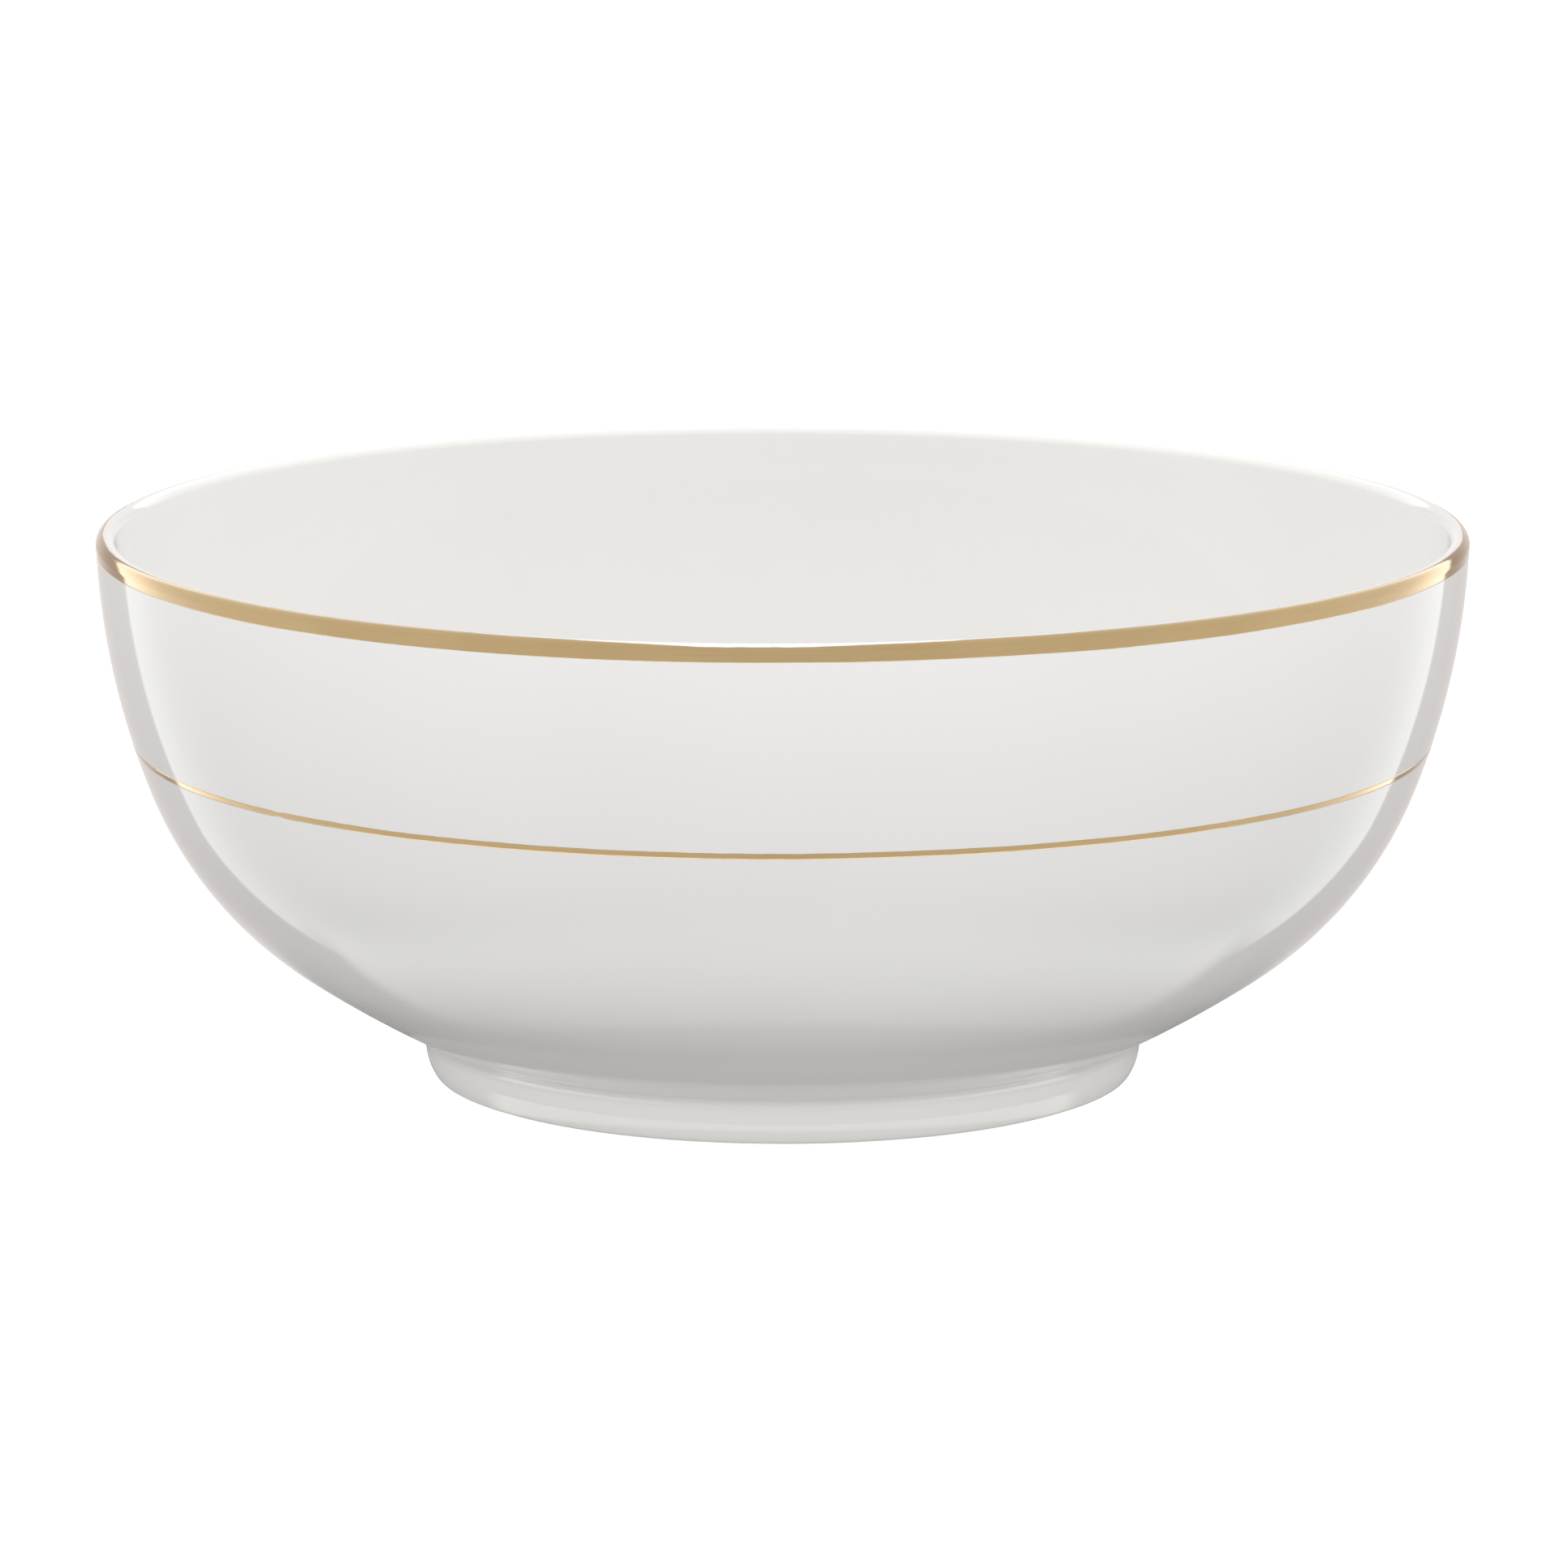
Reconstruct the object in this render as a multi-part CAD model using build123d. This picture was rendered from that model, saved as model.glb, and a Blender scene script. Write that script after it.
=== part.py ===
"""Footed porcelain serving bowl with a gilded rim and a gilt line round the wall.

Millimetres, +Z up. The origin is where the bowl's axis meets the table, so the bare
foot ring stands on z = 0. Every piece is a solid of revolution about Z, turned from a
section drawn with the radius along X and the height along Z.

A section's depth is how far it lies under the glazed surface: 0 is the glazed surface,
GLAZE is the fired body under it, and a negative depth stands proud of the glaze.
"""

from build123d import *
import os
from math import cos, radians, sin

# ---- Driving dimensions ----
RIM_RADIUS = 120.5  # outside of the wall where the lip's rounding starts
RIM_HEIGHT = 97.5  # crest of the lip above the table
LIP_THICKNESS = 3.4  # the lip is a full half-round of this thickness
RIM_LEAN = 2.06  # degrees that the wall leans in at the lip
GLAZE = 0.3

# Outer wall, from the lip down: tangent arcs, each (radius, degrees turned)
SIDE_ARC = (131.6, 19.38)
KNUCKLE_ARC = (66.6, 34.77)
UNDERSIDE_ARC = (213.0, 9.08)
FLOOR_CURVE_RADIUS = 80.0  # inside, from the knuckle to the level floor

WELL_HEIGHT = 6.0  # ceiling of the hollow inside the foot ring
FOOT_RADIUS = 63.3  # foot ring at its widest
FOOT_BELLY_HEIGHT = 5.7  # height of that widest place
FOOT_FACE_RADIUS = 9.0  # rounding of the foot's outer face, seen in section
FOOT_HEEL_RADIUS = 2.0  # rounding from that face into the bare standing ring
FOOT_INNER_RADIUS = 57.6  # inner edge of the bare standing ring
FOOT_WELL_RADIUS = 55.6  # where the foot's inner face meets the well's ceiling
FOOT_ROOT_HEIGHT = 9.5  # how far up the foot's section is drawn, inside the wall
FOOT_FILLET = 3.0  # slip and glaze in the corner under the wall
WELL_FILLET = 1.2
GLAZE_STOP = 0.5  # the glaze is wiped back this far above the table

GOLD = 0.12  # gilding, much thicker than the real few microns
BAND_BOTTOM = 94.55  # lower edge of the rim band
BAND_INSET = 0.25  # the band stops this far outside the crest of the lip
PINSTRIPE_HEIGHT = 60.98
PINSTRIPE_WIDTH = 1.05

# ---- Worked out from them ----
LIP_RADIUS = LIP_THICKNESS / 2
LEAN = radians(RIM_LEAN)
WALL_TOP = RIM_HEIGHT - LIP_RADIUS * (1 + sin(LEAN))
DOWN_THE_WALL = Vector(-sin(LEAN), -cos(LEAN))
INTO_THE_WALL = Vector(-cos(LEAN), sin(LEAN))
CREST_RADIUS = RIM_RADIUS - LIP_RADIUS * cos(LEAN)
FULL_HEIGHT = RIM_HEIGHT + 10.0  # past the rim, for trimming
FULL_RADIUS = RIM_RADIUS + 10.0


def arc_chain(start, arcs):
    """Arcs that leave the lip downwards and turn in towards the axis, end to end."""
    edges = []
    place = start
    heading = DOWN_THE_WALL
    for radius, turned in arcs:
        arc = JernArc(place, heading, radius, -turned)
        edges.append(arc)
        place = arc @ 1
        heading = arc % 1
    return edges


def outer_wall(depth):
    """Outside of the wall, from the lip down to where it runs under the well."""
    start = Vector(RIM_RADIUS, WALL_TOP) + INTO_THE_WALL * depth
    arcs = [SIDE_ARC, KNUCKLE_ARC, UNDERSIDE_ARC]
    return arc_chain(start, [(radius - depth, turned) for radius, turned in arcs])


def inner_wall(depth):
    """Inside of the bowl, from the lip down to the level floor."""
    thickness = LIP_THICKNESS - depth
    start = Vector(RIM_RADIUS, WALL_TOP) + INTO_THE_WALL * thickness
    to_level = 90.0 - RIM_LEAN - SIDE_ARC[1] - KNUCKLE_ARC[1]
    return arc_chain(
        start,
        [
            (SIDE_ARC[0] - thickness, SIDE_ARC[1]),
            (KNUCKLE_ARC[0] - thickness, KNUCKLE_ARC[1]),
            (FLOOR_CURVE_RADIUS + depth, to_level),
        ],
    )


def block(low_radius, high_radius, low_height, high_height):
    """Rectangle of the section plane, for trimming."""
    corner = (low_radius, low_height)
    return Pos(*corner) * Rectangle(
        high_radius - low_radius,
        high_height - low_height,
        align=(Align.MIN, Align.MIN),
    )


def bowl_section(depth):
    """The bowl without its foot: floor, wall and half-round lip."""
    outside = outer_wall(depth)
    inside = inner_wall(depth)
    lip = ThreePointArc(
        outside[0] @ 0,
        Vector(CREST_RADIUS, RIM_HEIGHT - depth),
        inside[0] @ 0,
    )
    floor = Line(inside[-1] @ 1, Vector(0, (inside[-1] @ 1).Y))
    axis = Line(floor @ 1, Vector(0, 0))
    base = Line(axis @ 1, Vector((outside[-1] @ 1).X, 0))
    heel = Line(base @ 1, outside[-1] @ 1)
    face = make_face(Curve() + outside + [heel, base, axis, floor] + inside + [lip])
    return face - block(0, FULL_RADIUS, 0, WELL_HEIGHT + depth)


def foot_section(depth):
    """The foot ring, drawn on up into the wall. It stands on z = 0 at any depth."""
    drop = FOOT_BELLY_HEIGHT - FOOT_HEEL_RADIUS
    reach = FOOT_FACE_RADIUS - FOOT_HEEL_RADIUS
    face_centre = Vector(FOOT_RADIUS - FOOT_FACE_RADIUS, FOOT_BELLY_HEIGHT)
    heel_centre = face_centre + Vector((reach**2 - drop**2) ** 0.5, -drop)
    outward = (heel_centre - face_centre).normalized()
    belly = face_centre + Vector(FOOT_FACE_RADIUS - depth, 0)
    knee = heel_centre + outward * (FOOT_HEEL_RADIUS - depth)
    toe = heel_centre - Vector(0, FOOT_HEEL_RADIUS - depth)
    face = TangentArc(belly, knee, tangent=(0, -1))
    heel = TangentArc(knee, toe, tangent=face % 1)
    rest = Polyline(
        toe,
        Vector(FOOT_INNER_RADIUS + depth, depth),
        Vector(FOOT_WELL_RADIUS + depth, WELL_HEIGHT + depth),
        Vector(FOOT_WELL_RADIUS + depth, FOOT_ROOT_HEIGHT),
        Vector(FOOT_RADIUS - depth, FOOT_ROOT_HEIGHT),
        belly,
    )
    outline = make_face(Curve() + [face, heel] + rest.edges())
    return outline + block(FOOT_INNER_RADIUS + depth, toe.X, 0, FOOT_HEEL_RADIUS)


def nearest_corner(face, place):
    """The section's corner nearest to a place."""
    return face.vertices().sort_by_distance(Vector(*place))[0]


def whole_section(depth):
    """Bowl and foot together, with slip rounding both corners between them."""
    face = bowl_section(depth) + foot_section(depth)
    under_wall = nearest_corner(face, (FOOT_RADIUS - depth, WELL_HEIGHT + 2))
    face = fillet(under_wall, FOOT_FILLET + depth)
    in_well = nearest_corner(face, (FOOT_WELL_RADIUS + depth, WELL_HEIGHT + depth))
    return fillet(in_well, WELL_FILLET + depth)


def turned(section):
    """Solid of revolution about Z of a section."""
    return revolve(Plane.XZ * section, Axis.Z)


def in_well():
    """The part of the section plane inside the foot's standing ring."""
    middle_of_standing_ring = (FOOT_INNER_RADIUS + FOOT_RADIUS - FOOT_HEEL_RADIUS) / 2
    return block(0, middle_of_standing_ring, 0, WELL_HEIGHT + GLAZE)


def glaze_skin():
    """Section of all the glaze, wiped off the standing ring."""
    wiped = block(0, FULL_RADIUS, 0, GLAZE_STOP)
    return whole_section(0) - whole_section(GLAZE) - wiped


def gilding(lowest, highest, least_radius=0):
    """Section of the gold laid on the outside of the wall between two heights."""
    proud = bowl_section(-GOLD) - bowl_section(0)
    both_sides = proud & block(least_radius, FULL_RADIUS, lowest, highest)
    return both_sides.faces().sort_by(Axis.X)[-1]


def porcelain_body():
    """Fired body of the bowl: floor, wall and lip, without the foot."""
    return turned(bowl_section(GLAZE))


def foot_ring():
    """Fired foot ring, luted under the wall with slip; its standing ring is bare."""
    return turned(whole_section(GLAZE) - bowl_section(GLAZE))


def glaze_coat():
    """Clear glaze over the inside, the lip, the outside and the foot's outer face."""
    return turned(glaze_skin() - in_well())


def glaze_underside():
    """The separate patch of glaze inside the foot ring."""
    return turned(glaze_skin() & in_well())


def rim_gold_band():
    """Gilding over the outer half of the lip."""
    return turned(gilding(BAND_BOTTOM, FULL_HEIGHT, CREST_RADIUS + BAND_INSET))


def pinstripe():
    """Thin gilt line round the wall."""
    half_width = PINSTRIPE_WIDTH / 2
    lowest = PINSTRIPE_HEIGHT - half_width
    highest = PINSTRIPE_HEIGHT + half_width
    return turned(gilding(lowest, highest))


PIECES = {
    "porcelain_body": porcelain_body,
    "foot_ring": foot_ring,
    "glaze_coat": glaze_coat,
    "glaze_underside": glaze_underside,
    "rim_gold_band": rim_gold_band,
    "pinstripe": pinstripe,
}


def main():
    """Write each piece to parts/NODE.step."""
    os.makedirs("parts", exist_ok=True)
    for name, make in PIECES.items():
        piece = make()
        piece.label = name
        export_step(piece, f"parts/{name}.step")
        size = piece.bounding_box().size
        print(f"{name}: {piece.volume:.0f} mm3, {size.X:.2f} x {size.Z:.2f} mm")


if __name__ == "__main__":
    main()
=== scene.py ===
"""Looks for the footed porcelain serving bowl with a gilded lip and pinstripe.

Metres, +Z up, in the CAD model's frame. Every piece is turned about Z from arcs in its
section plane, where r is the radius and z the height. An arc's surface at a depth lies
that far under the glazed surface, and a negative depth stands proud of it.
"""

from collections import namedtuple
from math import acos, asin, atan2, cos, degrees, pi, radians, sin, sqrt

import bpy
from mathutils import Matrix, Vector, noise


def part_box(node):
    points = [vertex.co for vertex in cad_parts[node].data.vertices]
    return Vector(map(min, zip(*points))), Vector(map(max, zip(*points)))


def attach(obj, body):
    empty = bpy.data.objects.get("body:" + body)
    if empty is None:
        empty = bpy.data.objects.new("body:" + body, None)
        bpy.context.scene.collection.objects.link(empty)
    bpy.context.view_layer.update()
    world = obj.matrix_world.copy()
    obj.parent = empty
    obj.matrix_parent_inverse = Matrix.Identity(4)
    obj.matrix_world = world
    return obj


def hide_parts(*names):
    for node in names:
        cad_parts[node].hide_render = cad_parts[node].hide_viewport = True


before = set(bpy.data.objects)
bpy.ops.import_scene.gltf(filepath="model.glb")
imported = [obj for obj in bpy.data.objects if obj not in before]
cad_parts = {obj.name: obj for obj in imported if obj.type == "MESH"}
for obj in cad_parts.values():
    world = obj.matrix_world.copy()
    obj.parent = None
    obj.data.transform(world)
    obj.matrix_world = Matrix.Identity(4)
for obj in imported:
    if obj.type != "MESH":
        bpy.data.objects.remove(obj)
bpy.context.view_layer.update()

MM = 0.001

# ---- Sizes read from the CAD frame ----
GLAZE_LOW, GLAZE_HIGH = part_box("glaze_coat")
STRIPE_LOW, STRIPE_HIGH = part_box("pinstripe")
RIM_HEIGHT = GLAZE_HIGH.z
RIM_RADIUS = GLAZE_HIGH.x
GLAZE = GLAZE_HIGH.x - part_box("porcelain_body")[1].x
GLAZE_STOP = GLAZE_LOW.z
BAND_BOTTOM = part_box("rim_gold_band")[0].z
STRIPE_MIDDLE = (STRIPE_HIGH.z + STRIPE_LOW.z) / 2
STRIPE_HALF = (STRIPE_HIGH.z - STRIPE_LOW.z) / 2

# ---- The CAD design's section, restated ----
LIP_THICKNESS = 3.4 * MM
RIM_LEAN = radians(2.06)
SIDE_ARC = (131.6 * MM, radians(19.38))  # radius and sweep, as for the knuckle
KNUCKLE_ARC = (66.6 * MM, radians(34.77))
UNDERSIDE_RADIUS = 213.0 * MM
FLOOR_CURVE_RADIUS = 80.0 * MM
FOOT_RADIUS = 63.3 * MM
FOOT_BELLY_HEIGHT = 5.7 * MM
FOOT_FACE_RADIUS = 9.0 * MM
FOOT_HEEL_RADIUS = 2.0 * MM
FOOT_FILLET = 3.0 * MM

# ---- What firing leaves ----
SADDLE = 0.19 * MM  # rise and fall of the rim about its middle
SETTLE = 0.11 * MM  # how far that middle has sunk, which keeps the rim in the CAD box

# ---- What hand gilding leaves ----
GOLD_PROUD = 0.02 * MM
GOLD_DEPTH = 0.05 * MM
# The band's upper edge lies at this many degrees on the lip, and higher or lower near
# some bearings: (bearing, degrees to where that ends, degrees on the lip).
BAND_TOP = 76
BAND_TOP_HUMPS = [(-45, 50, 10), (45, 50, 9), (-2, 21, -30)]
WANDER_GAIN = 1.6  # brings the noise to between about -1 and 1
# Wanders, each a list of (amount, seed, waves).
BAND_TOP_WANDER = [(4, 1.7, 9), (1.2, 4.1, 60)]
BAND_FOOT_WANDER = [(0.06 * MM, 2.3, 6), (0.02 * MM, 7.9, 70)]
STRIPE_WANDER = [(0.05 * MM, 3.3, 5)]
STRIPE_TOP_RAG = [(0.03 * MM, 5.7, 45)]
STRIPE_FOOT_RAG = [(0.03 * MM, 9.1, 45)]
STRIPE_LIFT = 0.06 * MM  # at the front and back
STRIPE_DROP = 0.30 * MM  # from there to the sides
STRIPE_NICK = (-48, 1.0, 0.35)  # bearing, degrees to where it ends, share of the width

# ---- Fineness ----
SEGMENTS = 384
GOLD_SEGMENTS = 1024
SAME_PLACE = 1e-7
# Steps along each arc of the glaze, on the surface that shows and on the hidden one.
ARC_STEPS = {
    "floor_curve": (22, 6),
    "inner_knuckle": (24, 6),
    "inner_side": (24, 5),
    "lip": (26, 8),
    "side": (28, 6),
    "knuckle": (28, 6),
    "underside": (14, 3),
    "fillet": (10, 3),
    "belly": (12, 3),
}
FLOOR_STEPS = (8, 2)
HEEL_STEPS = (6, 2)
SHOWN, HIDDEN = 0, 1
# Steps of the gilding over the lip and down the wall.
BAND_STEPS = (12, 9)
STRIPE_STEPS = (0, 7)

# An arc of the section. bulge is 1 where the clay is on the centre's side, else -1.
Arc = namedtuple("Arc", "centre radius start end bulge")


def on_arc(arc, angle, depth=0.0):
    """The point of an arc's surface at an angle from +r, at a depth."""
    radius = arc.radius - arc.bulge * depth
    r = arc.centre[0] + radius * cos(angle)
    return (r, arc.centre[1] + radius * sin(angle))


def arc_points(arc, count, depth=0.0):
    """count + 1 points along an arc, from its start to its end."""
    step = (arc.end - arc.start) / count
    return [on_arc(arc, arc.start + step * k, depth) for k in range(count + 1)]


def section_arcs():
    """Every arc of the glazed outline, by name, from the level floor to the foot."""
    lip_radius = LIP_THICKNESS / 2
    lip_centre = (RIM_RADIUS - lip_radius, RIM_HEIGHT - lip_radius)
    wall_top = -RIM_LEAN
    side_end = wall_top - SIDE_ARC[1]
    knuckle_end = side_end - KNUCKLE_ARC[1]

    def stepped(centre, change, angle):
        """Centre of the next tangent arc, whose radius is smaller by change."""
        return (centre[0] + change * cos(angle), centre[1] + change * sin(angle))

    side_centre = stepped(lip_centre, lip_radius - SIDE_ARC[0], wall_top)
    knuckle_centre = stepped(side_centre, SIDE_ARC[0] - KNUCKLE_ARC[0], side_end)
    underside_centre = stepped(
        knuckle_centre, KNUCKLE_ARC[0] - UNDERSIDE_RADIUS, knuckle_end
    )
    inner_side = SIDE_ARC[0] - LIP_THICKNESS
    inner_knuckle = KNUCKLE_ARC[0] - LIP_THICKNESS
    floor_centre = stepped(
        knuckle_centre, inner_knuckle - FLOOR_CURVE_RADIUS, knuckle_end
    )

    fillet_r = FOOT_RADIUS + FOOT_FILLET
    reach = UNDERSIDE_RADIUS + FOOT_FILLET
    across = fillet_r - underside_centre[0]
    fillet_centre = (fillet_r, underside_centre[1] - sqrt(reach**2 - across**2))
    under_end = -acos(across / reach)

    belly_centre = (FOOT_RADIUS - FOOT_FACE_RADIUS, FOOT_BELLY_HEIGHT)
    knee = -asin(
        (FOOT_BELLY_HEIGHT - FOOT_HEEL_RADIUS) / (FOOT_FACE_RADIUS - FOOT_HEEL_RADIUS)
    )
    heel_centre = stepped(belly_centre, FOOT_FACE_RADIUS - FOOT_HEEL_RADIUS, knee)

    return {
        "floor_curve": Arc(floor_centre, FLOOR_CURVE_RADIUS, -pi / 2, knuckle_end, -1),
        "inner_knuckle": Arc(knuckle_centre, inner_knuckle, knuckle_end, side_end, -1),
        "inner_side": Arc(side_centre, inner_side, side_end, wall_top, -1),
        "lip": Arc(lip_centre, lip_radius, pi + wall_top, wall_top, 1),
        "side": Arc(side_centre, SIDE_ARC[0], wall_top, side_end, 1),
        "knuckle": Arc(knuckle_centre, KNUCKLE_ARC[0], side_end, knuckle_end, 1),
        "underside": Arc(underside_centre, UNDERSIDE_RADIUS, knuckle_end, under_end, 1),
        "fillet": Arc(fillet_centre, FOOT_FILLET, under_end + pi, pi, -1),
        "belly": Arc(belly_centre, FOOT_FACE_RADIUS, 0.0, knee, 1),
        "heel": Arc(heel_centre, FOOT_HEEL_RADIUS, knee, -pi / 2, 1),
    }


ARCS = section_arcs()


def angle_at_height(arc, height, depth=0.0):
    """Angle where an arc on the outside of the bowl crosses a height."""
    return asin((height - arc.centre[1]) / (arc.radius - arc.bulge * depth))


def warp(x, y, z):
    """Firing warp: the rim is pulled into a slight saddle, and the foot stays level."""
    fall = SETTLE + SADDLE * sin(2 * atan2(y, x))
    share = z / RIM_HEIGHT * sqrt(x * x + y * y) / RIM_RADIUS
    return (x, y, z - fall * share)


def revolved(name, rings, material, replaced):
    """Makes a piece turned about Z from closed rings of the section, one per segment.

    rings is a list of closed outlines, each a list of (r, z), that all have the same
    number of points. A point at r = 0 becomes one shared vertex.
    """
    count = len(rings)
    on_axis = [r < SAME_PLACE for r, _ in rings[0]]
    verts = []
    index = []
    for k, ring in enumerate(rings):
        turn = 2 * pi * k / count
        row = []
        for j, (r, z) in enumerate(ring):
            if on_axis[j] and k:
                row.append(index[0][j])
                continue
            row.append(len(verts))
            verts.append(warp(r * cos(turn), r * sin(turn), z))
        index.append(row)
    faces = []
    size = len(rings[0])
    for k in range(count):
        here = index[k]
        there = index[(k + 1) % count]
        for j in range(size):
            after = (j + 1) % size
            corners = [here[j], here[after], there[after], there[j]]
            corners = list(dict.fromkeys(corners))
            if len(corners) > 2:
                faces.append(corners)
    mesh = bpy.data.meshes.new(name)
    mesh.from_pydata(verts, [], faces)
    mesh.validate()
    mesh.shade_smooth()
    mesh.materials.append(material)
    piece = bpy.data.objects.new(name, mesh)
    bpy.context.scene.collection.objects.link(piece)
    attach(piece, "root")
    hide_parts(replaced)


# ---- Shader nodes ----

BRIGHTEST = 2.0  # a ramp's greys are divided by this, so that none is over 1

class Nodes:
    """Short ways to build a node tree. Values are outputs, plain numbers or colours."""

    def __init__(self, tree):
        self.tree = tree

    def new(self, kind, **settings):
        """A new node, with its properties and its inputs set by name."""
        made = self.tree.nodes.new(kind)
        for key, value in settings.items():
            if hasattr(made, key):
                setattr(made, key, value)
            else:
                made.inputs[key.replace("_", " ")].default_value = value
        return made

    def join(self, source, target):
        """Links an output to an input, or sets the input to a number or a colour."""
        if isinstance(source, (int, float)):
            target.default_value = source
        elif isinstance(source, tuple):
            target.default_value = (*source, 1)
        else:
            self.tree.links.new(source, target)

    def place(self):
        """Object coordinates."""
        return self.new("ShaderNodeTexCoord").outputs["Object"]

    def scaled(self, vector, factors):
        """A vector with each part multiplied by its own factor."""
        made = self.new("ShaderNodeVectorMath", operation="MULTIPLY")
        self.join(vector, made.inputs[0])
        made.inputs[1].default_value = factors
        return made.outputs[0]

    def length(self, vector):
        """A vector's length."""
        made = self.new("ShaderNodeVectorMath", operation="LENGTH")
        self.join(vector, made.inputs[0])
        return made.outputs["Value"]

    def split(self, vector):
        """A vector's x, y and z."""
        made = self.new("ShaderNodeSeparateXYZ")
        self.join(vector, made.inputs[0])
        return made.outputs

    def math(self, operation, *values):
        """The output of one sum."""
        made = self.new("ShaderNodeMath", operation=operation)
        for value, target in zip(values, made.inputs):
            self.join(value, target)
        return made.outputs[0]

    def mapped(self, value, span, to=(0, 1)):
        """A value carried from one range to another, smoothly and clamped."""
        made = self.new("ShaderNodeMapRange", interpolation_type="SMOOTHSTEP")
        ends = ("From Min", "From Max", "To Min", "To Max")
        for key, number in zip(ends, (*span, *to)):
            made.inputs[key].default_value = number
        self.join(value, made.inputs["Value"])
        return made.outputs["Result"]

    def blend(self, share, first, second):
        """The number first where share is 0 and second where it is 1."""
        change = self.math("SUBTRACT", second, first)
        return self.math("MULTIPLY_ADD", share, change, first)

    def tinted(self, share, under, over):
        """The colour under where share is 0 and over where it is 1."""
        made = self.new("ShaderNodeMix", data_type="RGBA")
        self.join(share, made.inputs["Factor"])
        for name, colour in (("A", under), ("B", over)):
            socket = next(i for i in made.inputs if i.name == name and i.type == "RGBA")
            self.join(colour, socket)
        return next(o for o in made.outputs if o.type == "RGBA")

    def ramp(self, share, stops):
        """A colour read from a list of (degrees, colour), for share = degrees / 180."""
        made = self.new("ShaderNodeValToRGB")
        while len(made.color_ramp.elements) < len(stops):
            made.color_ramp.elements.new(0.5)
        for stop, (angle, colour) in zip(made.color_ramp.elements, stops):
            stop.position = angle / 180
            stop.color = (*colour, 1)
        self.join(share, made.inputs["Fac"])
        return made.outputs["Color"]

    def profile(self, share, stops):
        """A brightness read from a list of (degrees, level), as ramp reads a colour."""
        greys = [(angle, (level / BRIGHTEST,) * 3) for angle, level in stops]
        return self.math("MULTIPLY", self.ramp(share, greys), BRIGHTEST)

    def noise(self, where, scale, detail):
        """A noise texture's grey output, read at a vector."""
        made = self.new("ShaderNodeTexNoise", Scale=scale, Detail=detail)
        self.join(where, made.inputs["Vector"])
        return made.outputs["Fac"]

    def specks(self, where, scale, size, chance):
        """1 in small round specks, in a share of the cells of a scattered pattern."""
        cells = self.new("ShaderNodeTexVoronoi", Scale=scale)
        self.join(where, cells.inputs["Vector"])
        near = self.mapped(cells.outputs["Distance"], (size * 0.6, size), (1, 0))
        parts = self.new("ShaderNodeSeparateColor")
        self.join(cells.outputs["Color"], parts.inputs[0])
        some = self.math("LESS_THAN", parts.outputs[0], chance)
        return self.math("MULTIPLY", near, some)

    def bump(self, height, distance, strength):
        """A normal from a height pattern."""
        made = self.new("ShaderNodeBump", Strength=strength, Distance=distance)
        self.join(height, made.inputs["Height"])
        return made.outputs["Normal"]


# ---- Materials ----

PORCELAIN_DIM = (0.795, 0.785, 0.768)
PORCELAIN_PALE = (0.81, 0.803, 0.788)
PORCELAIN_LOW_TINT = (0.785, 0.768, 0.742)
PORCELAIN_SPECK = (0.42, 0.38, 0.33)
LOW_TINT_HEIGHTS = (4 * MM, 30 * MM)  # the porcelain is tinted darker and warmer low on the bowl, fully below the first height and not at all above the second

GOLD_DEEP = (0.84, 0.57, 0.235)
GOLD_BRIGHT = (0.88, 0.605, 0.26)
GOLD_STREAK = (0.80, 0.525, 0.205)
GOLD_WORN = (0.5, 0.37, 0.22)
# How much finer a pattern is round the bowl and up it, for brush strokes.
STROKES = (70, 70, 2600)
FINE_STROKES = (420, 420, 3600)

BISCUIT_DARK = (0.69, 0.665, 0.62)
BISCUIT_PALE = (0.76, 0.74, 0.70)
BISCUIT_GRIT = (0.5, 0.46, 0.40)


def new_material(name, **settings):
    """A material, its nodes and its shader's inputs, some of them set by name."""
    material = bpy.data.materials.new(name)
    material.use_nodes = True
    shader = material.node_tree.nodes["Principled BSDF"]
    for key, value in settings.items():
        shader.inputs[key.replace("_", " ")].default_value = value
    return material, Nodes(material.node_tree), shader.inputs


def glazed_porcelain():
    """White body seen through clear, slightly rippled glaze, with rare pin specks."""
    material, nodes, shader = new_material("glazed_porcelain", IOR=1.5)
    place = nodes.place()

    clouds = nodes.mapped(nodes.noise(place, 14.0, 2.0), (0.3, 0.7))
    tint = nodes.tinted(clouds, PORCELAIN_DIM, PORCELAIN_PALE)
    # tinted darker and warmer towards the bottom of the bowl
    low_share = nodes.mapped(nodes.split(place)["Z"], LOW_TINT_HEIGHTS, (1, 0))
    tint = nodes.tinted(low_share, tint, PORCELAIN_LOW_TINT)
    spots = nodes.specks(place, scale=62.0, size=0.015, chance=0.05)
    tint = nodes.tinted(spots, tint, PORCELAIN_SPECK)
    nodes.join(tint, shader["Base Color"])

    patches = nodes.noise(place, 38.0, 3.0)
    rough = nodes.mapped(patches, (0.35, 0.7), (0.028, 0.05))
    nodes.join(rough, shader["Roughness"])
    ripple = nodes.bump(nodes.noise(place, 160.0, 2.0), 0.02 * MM, 0.15)
    nodes.join(ripple, shader["Normal"])
    return material


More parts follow.
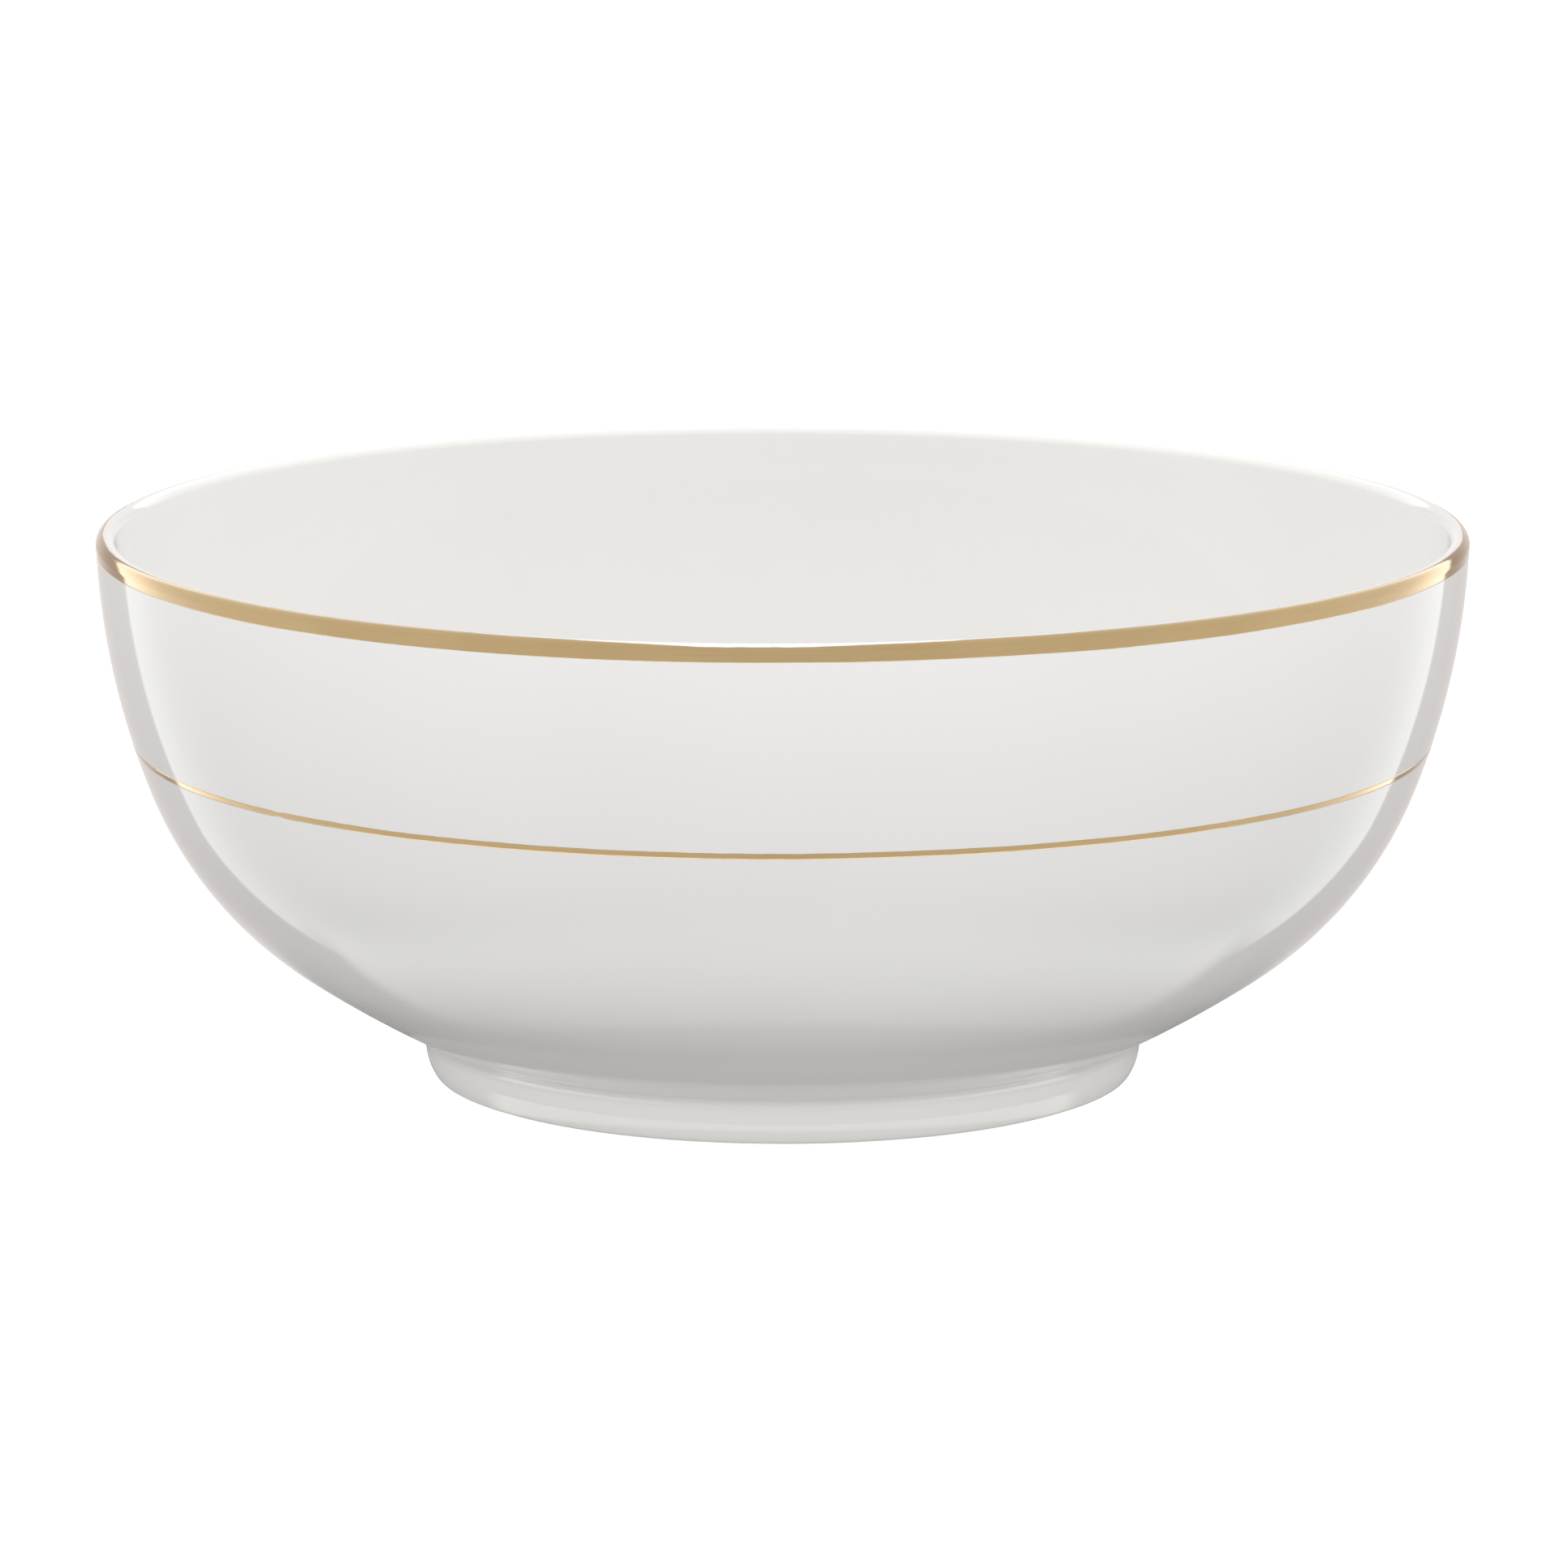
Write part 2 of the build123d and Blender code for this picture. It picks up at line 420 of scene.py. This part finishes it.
def burnished_gold():
    """Bright gold laid with a brush on a turntable, thinner in places."""
    material, nodes, shader = new_material(
        "burnished_gold",
        Metallic=1.0,
        Coat_Weight=1.0,
        Coat_Roughness=0.04,
        Coat_IOR=1.9,
    )
    place = nodes.place()
    stroke = nodes.noise(nodes.scaled(place, STROKES), 1.0, 3.0)

    coat = nodes.mapped(nodes.noise(place, 55.0, 3.0), (0.35, 0.68))
    tint = nodes.tinted(coat, GOLD_DEEP, GOLD_BRIGHT)
    streak = nodes.mapped(stroke, (0.40, 0.75), (0, 0.45))
    tint = nodes.tinted(streak, tint, GOLD_STREAK)
    spots = nodes.specks(place, scale=150.0, size=0.035, chance=0.10)
    tint = nodes.tinted(spots, tint, GOLD_WORN)
    nodes.join(tint, shader["Base Color"])

    rough = nodes.mapped(stroke, (0.35, 0.70), (0.085, 0.135))
    nodes.join(rough, shader["Roughness"])
    fine = nodes.noise(nodes.scaled(place, FINE_STROKES), 1.0, 2.0)
    nodes.join(nodes.bump(fine, 0.006 * MM, 0.35), shader["Normal"])
    return material


def bare_biscuit():
    """Unglazed fired clay, ground smooth, with fine grit."""
    material, nodes, shader = new_material("bare_biscuit")
    place = nodes.place()
    clouds = nodes.noise(place, 90.0, 4.0)

    share = nodes.mapped(clouds, (0.3, 0.7))
    tint = nodes.tinted(share, BISCUIT_DARK, BISCUIT_PALE)
    grit = nodes.specks(place, scale=700.0, size=0.16, chance=0.3)
    tint = nodes.tinted(grit, tint, BISCUIT_GRIT)
    nodes.join(tint, shader["Base Color"])

    nodes.join(nodes.mapped(clouds, (0.3, 0.7), (0.78, 0.92)), shader["Roughness"])
    grain = nodes.bump(nodes.noise(place, 2600.0, 2.0), 0.03 * MM, 0.4)
    nodes.join(grain, shader["Normal"])
    return material


# ---- Pieces ----


def floor_points(depth, count):
    """Points on the level floor inside, from the axis out to its curve."""
    edge = on_arc(ARCS["floor_curve"], -pi / 2, depth)
    return [(edge[0] * k / count, edge[1]) for k in range(count)]


def wall_points(depth, surface):
    """Points from the floor's curve over the lip to the foot's face, none repeated."""
    points = []
    for name, steps in ARC_STEPS.items():
        for point in arc_points(ARCS[name], steps[surface], depth):
            if not points or (Vector(point) - Vector(points[-1])).length > SAME_PLACE:
                points.append(point)
    return points


def heel_points(depth, count):
    """Points round the foot's heel, down to where the glaze is wiped off."""
    heel = ARCS["heel"]
    stop = angle_at_height(heel, GLAZE_STOP, depth)
    return arc_points(heel._replace(end=stop), count, depth)[1:]


def glaze_points(depth, surface):
    """The glaze's section at a depth, from the axis to the foot's heel."""
    points = floor_points(depth, FLOOR_STEPS[surface])
    points += wall_points(depth, surface)
    return points + heel_points(depth, HEEL_STEPS[surface])


def make_glaze_coat(material):
    """The glaze over the inside, lip, outside and foot face, as one closed skin."""
    ring = glaze_points(0.0, SHOWN) + glaze_points(GLAZE, HIDDEN)[::-1]
    revolved("glaze_coat_skin", [ring] * SEGMENTS, material, "glaze_coat")


def bearing(turn):
    """Degrees round from the front, -180 to 180, positive towards +X."""
    return (degrees(turn) + 90 + 180) % 360 - 180


def bump(value, centre, width):
    """A smooth hump of height 1, gone at width either side of its centre."""
    t = min(1.0, abs(value - centre) / width)
    return (1 - t * t) ** 2


def wander(turn, strokes):
    """A slow, repeatable wander that closes round the bowl.

    strokes is a list of (amount, seed, waves), and each wanders by about its amount.
    """
    total = 0.0
    for amount, seed, waves in strokes:
        place = Vector((cos(turn), sin(turn), seed)) * waves
        total += amount * noise.noise(place) * WANDER_GAIN
    return total


def strip_ring(top, bottom, counts):
    """Closed section of gilding from an angle on the lip, or on the wall if counts[0]
    is 0, down to an angle on the wall."""
    parts = []
    if counts[0]:
        parts.append(ARCS["lip"]._replace(start=top))
        top = ARCS["side"].start
    parts.append(ARCS["side"]._replace(start=top, end=bottom))
    outer = []
    inner = []
    for part, count in zip(parts, [n for n in counts if n]):
        skip = 1 if outer else 0
        outer += arc_points(part, count, -GOLD_PROUD)[skip:]
        inner += arc_points(part, count, GOLD_DEPTH)[skip:]
    return outer + inner[::-1]


def rim_band_ring(turn):
    """The rim gilding's section at a turn: both of its edges wander a little."""
    top = BAND_TOP
    for middle, width, rise in BAND_TOP_HUMPS:
        top += rise * bump(bearing(turn), middle, width)
    top += wander(turn, BAND_TOP_WANDER)
    bottom = BAND_BOTTOM + wander(turn, BAND_FOOT_WANDER)
    lowest = angle_at_height(ARCS["side"], bottom)
    return strip_ring(radians(top), lowest, BAND_STEPS)


def pinstripe_ring(turn):
    """The thin line's section at a turn: its height and width wander a little."""
    at = bearing(turn)
    middle = STRIPE_MIDDLE + STRIPE_LIFT - STRIPE_DROP * sin(radians(at)) ** 4
    middle += wander(turn, STRIPE_WANDER)
    nick_at, nick_width, nick_share = STRIPE_NICK
    half = STRIPE_HALF * (1 - nick_share * bump(at, nick_at, nick_width))
    high = middle + half + wander(turn, STRIPE_TOP_RAG)
    low = middle - half + wander(turn, STRIPE_FOOT_RAG)
    ends = [angle_at_height(ARCS["side"], height) for height in (high, low)]
    return strip_ring(*ends, STRIPE_STEPS)


def make_gilding(name, ring_at, material, replaced):
    """A gilt strip all round, from its section at each turn."""
    rings = [ring_at(2 * pi * k / GOLD_SEGMENTS) for k in range(GOLD_SEGMENTS)]
    revolved(name, rings, material, replaced)


# ---- Studio ----

FLOOR_HALF = 8.0
FLOOR_GAP = 0.05 * MM  # the floor is a hair under the foot, and its grey disc over it
FLOOR_WHITE = (0.95, 0.95, 0.95)
FLOOR_GLOW = 0.75
# The grey disc near the bowl, and the plate under it, are seen only in the gloss. The
# disc is painted shade in reflections, and the plate is a painted highlight and painted
# shade.
DISC_SHADE_GREY = (0.55, 0.54, 0.525)
DISC_HALF = 0.2
DISC_FADE = (70 * MM, 115 * MM)
DISC_HOLE = (68.3 * MM, 68.9 * MM)  # lets the foot's lower face mirror the plate
PLATE_DEPTH = 20 * MM
PLATE_FLATTEN = (1.22, 1, 0)  # makes the plate's rings ovals, narrower along x
PLATE_FADE = (125 * MM, 170 * MM)
PLATE_RING = (79 * MM, 86 * MM)  # lit beyond this ring
PLATE_FRONT = (-26 * MM, -10 * MM)  # and in front of this y
# The plate's glow is painted light: PLATE_LIGHT is a painted highlight on the foot's
# lower face, PLATE_SHADE a painted shade in the gloss under the bowl.
PLATE_LIGHT = 1.6
PLATE_SHADE = 0.42


def stage_material(name, colour, **settings):
    """new_material for something matt."""
    return new_material(
        name, Base_Color=(*colour, 1), Roughness=1.0, Specular_IOR_Level=0.0, **settings
    )


def stage_plane(name, half, height, material, hidden_from):
    """A level square, hidden from some kinds of ray."""
    mesh = bpy.data.meshes.new(name)
    corners = [(-half, -half), (half, -half), (half, half), (-half, half)]
    mesh.from_pydata([(x, y, height) for x, y in corners], [], [(0, 1, 2, 3)])
    mesh.materials.append(material)
    plane = bpy.data.objects.new(name, mesh)
    bpy.context.scene.collection.objects.link(plane)
    for ray in hidden_from:
        setattr(plane, "visible_" + ray, False)


def make_floor():
    """A plain white floor that can't be seen from below."""
    white, nodes, shader = stage_material(
        "floor_white",
        FLOOR_WHITE,
        Emission_Color=(1, 1, 1, 1),
        Emission_Strength=FLOOR_GLOW,
    )
    below = nodes.new("ShaderNodeNewGeometry").outputs["Backfacing"]
    nodes.join(nodes.math("SUBTRACT", 1.0, below), shader["Alpha"])
    stage_plane("floor", FLOOR_HALF, -FLOOR_GAP, white, ("glossy", "diffuse", "shadow"))


def make_floor_near_bowl():
    """The grey disc that the bowl's lower half mirrors: painted shade, a sheet darker
    than the floor and seen only in reflections, which also takes the bowl's real
    shadow.
    """
    grey, nodes, shader = stage_material("floor_shade", DISC_SHADE_GREY)
    away = nodes.length(nodes.place())
    fade = nodes.mapped(away, DISC_FADE, (1, 0))
    beyond_foot = nodes.mapped(away, DISC_HOLE)
    nodes.join(nodes.math("MULTIPLY", fade, beyond_foot), shader["Alpha"])
    hidden_from = ("camera", "diffuse", "shadow")
    stage_plane("floor_near_bowl", DISC_HALF, FLOOR_GAP, grey, hidden_from)


def make_under_light():
    """A glowing plate under the floor, seen only in reflections and lighting nothing:
    its lit front is a painted highlight on the foot's lower face, and the rest is
    painted shade in the underside's gloss.
    """
    plate, nodes, shader = stage_material(
        "under_light", (0, 0, 0), Emission_Color=(1, 1, 1, 1)
    )
    place = nodes.place()
    away = nodes.length(nodes.scaled(place, PLATE_FLATTEN))
    nodes.join(nodes.mapped(away, PLATE_FADE, (1, 0)), shader["Alpha"])
    beyond = nodes.mapped(away, PLATE_RING)
    front = nodes.mapped(nodes.split(place)["Y"], PLATE_FRONT, (1, 0))
    # painted highlight where lit, painted shade elsewhere
    lit = nodes.math("MULTIPLY", beyond, front)
    level = nodes.math("MULTIPLY_ADD", lit, PLATE_LIGHT - PLATE_SHADE, PLATE_SHADE)
    nodes.join(level, shader["Emission Strength"])
    hidden_from = ("camera", "diffuse", "shadow")
    stage_plane("under_light", DISC_HALF, -PLATE_DEPTH, plate, hidden_from)


# What the glaze and gold mirror, by degrees from the backdrop's middle, straight behind
# the bowl: a white backdrop, a dark gap at its edge, a light with a hard edge beyond
# it, and a dim front. RISE is how many degrees the zenith counts for.
SURROUND = [
    (0, 0.9),
    (10, 0.8),
    (18, 0.62),
    (26, 0.47),
    (34.6, 0.36),
    (35.8, 1.38),
    (41, 1.28),
    (47, 1.05),
    (55, 0.8),
    (65, 0.68),
    (100, 0.6),
    (180, 0.54),
]
RISE = 105.0
# The backdrop and the gap are a little warm, and all beyond them is white.
WHITE = (1.0, 1.0, 1.0)
SURROUND_TINT = [
    (0, (1.0, 0.97, 0.95)),
    (26, (1.0, 0.88, 0.84)),
    (34.6, (1.0, 0.88, 0.84)),
    (35.8, WHITE),
]
SURROUND_TURN = radians(-1.2)

# What lights the bowl, by the direction's x, y and z.
SKY_LEVEL = 1.09
SKY_BY_UP = 0.57  # brighter overhead
SKY_BY_ALONG = -0.28  # dimmer in front and behind than at the sides
GROUND_LEVEL = 1.4
GROUND_BY_Y = -0.42  # brighter in front
GROUND_BY_DOWN = 1.6  # dimmer straight below
GROUND_LEAST = 0.03
HORIZON = (-0.08, 0.08)


def soft_light(nodes, y, z, up):
    """The level of the light that falls on the bowl."""
    along = nodes.math("ABSOLUTE", y)
    sky = nodes.math("MULTIPLY_ADD", up, SKY_BY_UP, SKY_LEVEL)
    sky = nodes.math("MULTIPLY_ADD", along, SKY_BY_ALONG, sky)
    down = nodes.math("MINIMUM", z, 0)
    ground = nodes.math("MULTIPLY_ADD", y, GROUND_BY_Y, GROUND_LEVEL)
    ground = nodes.math("MULTIPLY_ADD", down, GROUND_BY_DOWN, ground)
    ground = nodes.math("MAXIMUM", ground, GROUND_LEAST)
    return nodes.blend(nodes.mapped(z, HORIZON), ground, sky)


def share_from_back(nodes, x, y, up):
    """How far a direction is from straight behind the bowl, 1 being 180 degrees."""
    from_back = nodes.math("ARCTAN2", nodes.math("ABSOLUTE", x), y)
    round_about = nodes.math("DIVIDE", from_back, pi)
    raised = nodes.math("MULTIPLY", up, RISE / 180)
    squares = nodes.math("MULTIPLY", raised, raised)
    squares = nodes.math("MULTIPLY_ADD", round_about, round_about, squares)
    return nodes.math("SQRT", squares)


def make_world():
    """Soft light from all round, and other surroundings for the gloss to mirror."""
    world = bpy.data.worlds.new("studio")
    bpy.context.scene.world = world
    world.use_nodes = True
    world.node_tree.nodes.clear()
    nodes = Nodes(world.node_tree)

    place = nodes.new("ShaderNodeTexCoord").outputs["Generated"]
    turned = nodes.new("ShaderNodeVectorRotate", rotation_type="Z_AXIS")
    turned.inputs["Angle"].default_value = SURROUND_TURN
    nodes.join(place, turned.inputs["Vector"])
    x, y, z = nodes.split(turned.outputs["Vector"])
    up = nodes.math("MAXIMUM", z, 0)
    share = share_from_back(nodes, x, y, up)

    glossy = nodes.new("ShaderNodeLightPath").outputs["Is Glossy Ray"]
    mirrored = nodes.profile(share, SURROUND)
    level = nodes.blend(glossy, soft_light(nodes, y, z, up), mirrored)
    tint = nodes.tinted(glossy, WHITE, nodes.ramp(share, SURROUND_TINT))
    background = nodes.new("ShaderNodeBackground")
    nodes.join(tint, background.inputs["Color"])
    nodes.join(level, background.inputs["Strength"])
    out = nodes.new("ShaderNodeOutputWorld")
    nodes.join(background.outputs[0], out.inputs["Surface"])


CAMERA_AIM = Vector((0.23 * MM, 0.0, 51.4 * MM))
CAMERA_DISTANCE = 1.710
CAMERA_ELEVATION = radians(10.765)
CAMERA_LENS = 222.3  # millimetres
SENSOR_WIDTH = 36.0
CLIP = (0.05, 40.0)


def make_camera():
    """A long lens, a little above the rim."""
    camera = bpy.data.objects.new("camera", bpy.data.cameras.new("camera"))
    bpy.context.scene.collection.objects.link(camera)
    back = Vector((0.0, -cos(CAMERA_ELEVATION), sin(CAMERA_ELEVATION)))
    camera.location = CAMERA_AIM + back * CAMERA_DISTANCE
    camera.rotation_mode = "QUATERNION"
    camera.rotation_quaternion = (-back).to_track_quat("-Z", "Y")
    camera.data.lens = CAMERA_LENS
    camera.data.sensor_width = SENSOR_WIDTH
    camera.data.clip_start, camera.data.clip_end = CLIP
    bpy.context.scene.camera = camera


GLAZED = glazed_porcelain()
GOLD = burnished_gold()
BISCUIT = bare_biscuit()

make_glaze_coat(GLAZED)
make_gilding("rim_gilding", rim_band_ring, GOLD, "rim_gold_band")
make_gilding("pinstripe_gilding", pinstripe_ring, GOLD, "pinstripe")
for node_name in ("porcelain_body", "foot_ring", "glaze_underside"):
    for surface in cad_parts[node_name].material_slots:
        surface.material = GLAZED if node_name == "glaze_underside" else BISCUIT

make_floor()
make_floor_near_bowl()
make_under_light()
make_world()
make_camera()
bpy.context.scene.view_settings.view_transform = "Standard"
